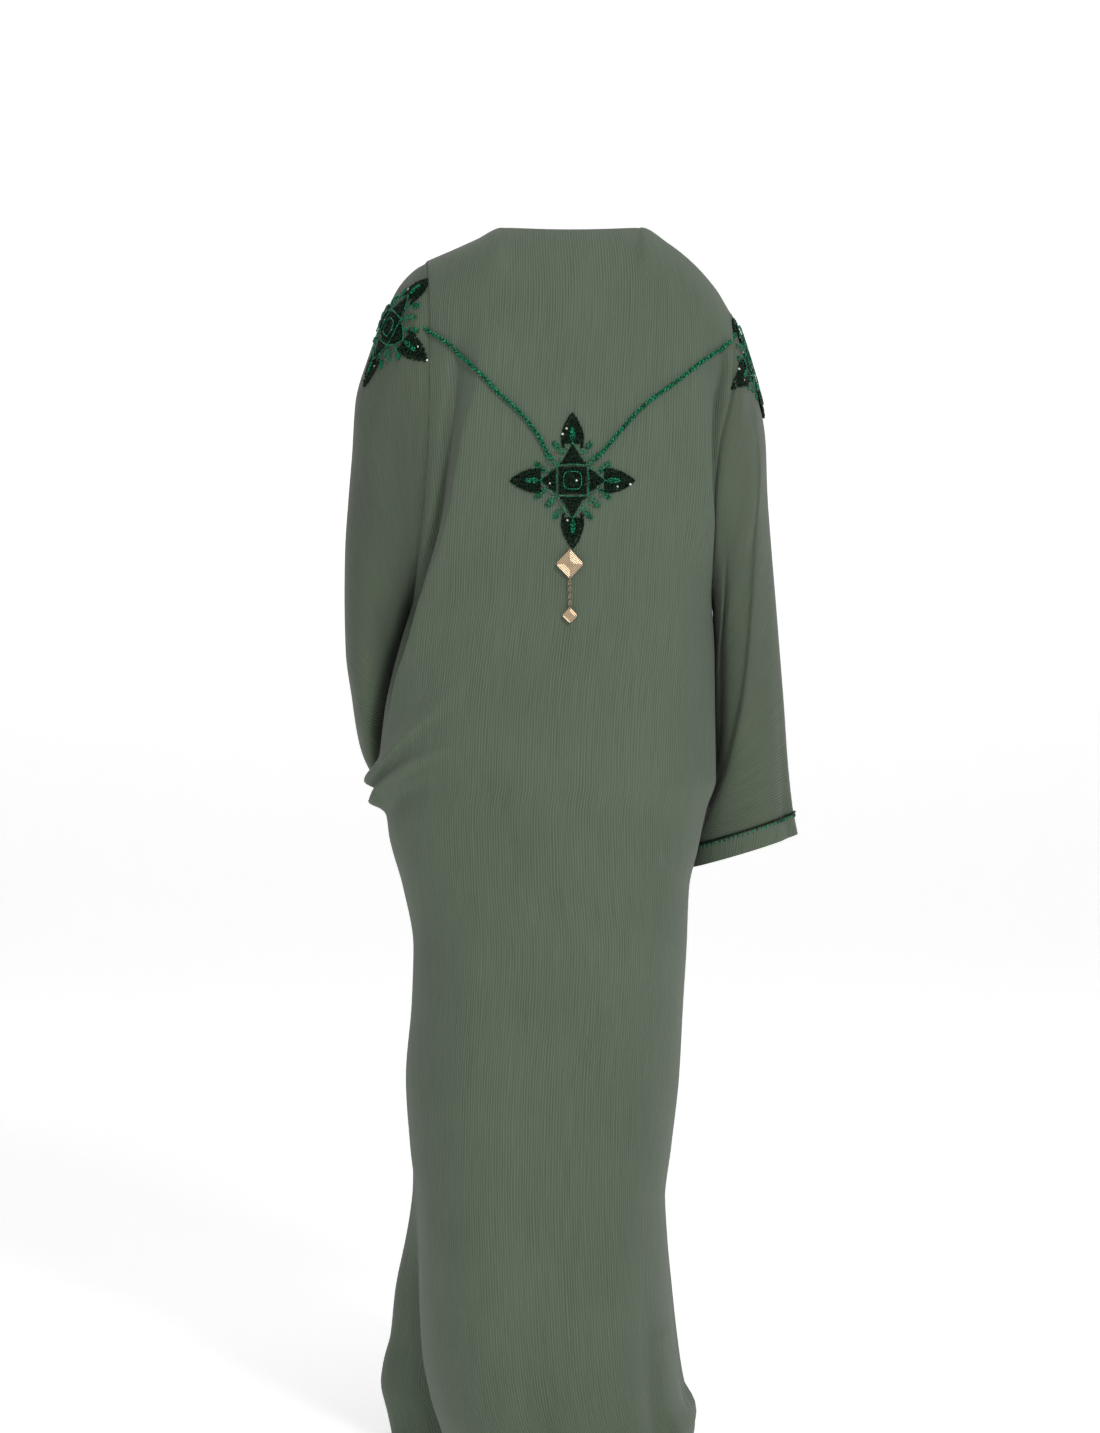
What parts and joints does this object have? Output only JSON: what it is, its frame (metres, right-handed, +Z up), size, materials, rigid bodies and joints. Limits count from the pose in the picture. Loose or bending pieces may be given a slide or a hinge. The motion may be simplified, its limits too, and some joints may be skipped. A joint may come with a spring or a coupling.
{
  "type": "abaya",
  "caption": "Long loose abaya in grey-green crinkled crepe, in its worn form, with beaded stars, bead cords, beaded cuff seams and a gold-coloured pendant on the back.",
  "frame": {"origin": "midway between the shoulders, level with the middle of the shoulder line, where the wearer's shoulders hold the garment", "axes": "+Z up along the garment, +X to the wearer's right, -Y the back of the garment and +Y its front"},
  "size_m": [0.5467, 0.3933, 1.453],
  "materials": {
    "crepe": "matt crinkled crepe",
    "beads": "glossy glass beads, near black green",
    "cord": "glossy emerald bugle beads",
    "gilt": "satin champagne gold plate"
  },
  "bodies": {
    "garment": {"back_panel": "crepe", "front_left": "crepe", "front_right": "crepe", "sleeve_left": "crepe", "sleeve_right": "crepe", "cuff_left": "crepe", "cuff_right": "crepe", "star_back": "beads", "star_left": "beads", "star_right": "beads", "rope_left": "cord", "rope_right": "cord", "cuff_beads_left": "beads", "cuff_beads_right": "beads", "sewn_loop": "gilt"},
    "jump_ring": {"jump_ring": "gilt"},
    "plate": {"plate": "gilt"},
    "lower_ring": {"lower_ring": "gilt"},
    "link_1": {"link_1": "gilt"},
    "link_2": {"link_2": "gilt"},
    "link_3": {"link_3": "gilt"},
    "link_4": {"link_4": "gilt"},
    "link_5": {"link_5": "gilt"},
    "link_6": {"link_6": "gilt"},
    "link_7": {"link_7": "gilt"},
    "link_8": {"link_8": "gilt"},
    "drop": {"drop": "gilt"}
  },
  "joints": [
    {"name": "jump_ring_swing", "type": "hinge", "parent": "garment", "child": "jump_ring", "pos_m": [-0.00313, -0.13808, -0.36836], "axis": [1, 0, 0], "range_deg": [-60, 0]},
    {"name": "plate_swing", "type": "hinge", "parent": "jump_ring", "child": "plate", "pos_m": [-0.00313, -0.13808, -0.37096], "axis": [0, 1, 0], "range_deg": [-40, 40]},
    {"name": "lower_ring_swing", "type": "hinge", "parent": "plate", "child": "lower_ring", "pos_m": [-0.00313, -0.13808, -0.40016], "axis": [1, 0, 0], "range_deg": [-10, 0]},
    {"name": "link_1_swing", "type": "hinge", "parent": "lower_ring", "child": "link_1", "pos_m": [-0.00313, -0.13808, -0.40536], "axis": [0, 1, 0], "range_deg": [-25, 25]},
    {"name": "link_2_swing", "type": "hinge", "parent": "link_1", "child": "link_2", "pos_m": [-0.00313, -0.13808, -0.40931], "axis": [1, 0, 0], "range_deg": [-30, 0]},
    {"name": "link_3_swing", "type": "hinge", "parent": "link_2", "child": "link_3", "pos_m": [-0.00313, -0.13808, -0.41326], "axis": [0, 1, 0], "range_deg": [-25, 25]},
    {"name": "link_4_swing", "type": "hinge", "parent": "link_3", "child": "link_4", "pos_m": [-0.00313, -0.13808, -0.41721], "axis": [1, 0, 0], "range_deg": [-30, 0]},
    {"name": "link_5_swing", "type": "hinge", "parent": "link_4", "child": "link_5", "pos_m": [-0.00313, -0.13808, -0.42116], "axis": [0, 1, 0], "range_deg": [-25, 25]},
    {"name": "link_6_swing", "type": "hinge", "parent": "link_5", "child": "link_6", "pos_m": [-0.00313, -0.13808, -0.42511], "axis": [1, 0, 0], "range_deg": [-30, 0]},
    {"name": "link_7_swing", "type": "hinge", "parent": "link_6", "child": "link_7", "pos_m": [-0.00313, -0.13808, -0.42906], "axis": [0, 1, 0], "range_deg": [-25, 25]},
    {"name": "link_8_swing", "type": "hinge", "parent": "link_7", "child": "link_8", "pos_m": [-0.00313, -0.13808, -0.43301], "axis": [1, 0, 0], "range_deg": [-30, 0]},
    {"name": "drop_swing", "type": "hinge", "parent": "link_8", "child": "drop", "pos_m": [-0.00313, -0.13808, -0.43696], "axis": [0, 1, 0], "range_deg": [-35, 35]}
  ]
}
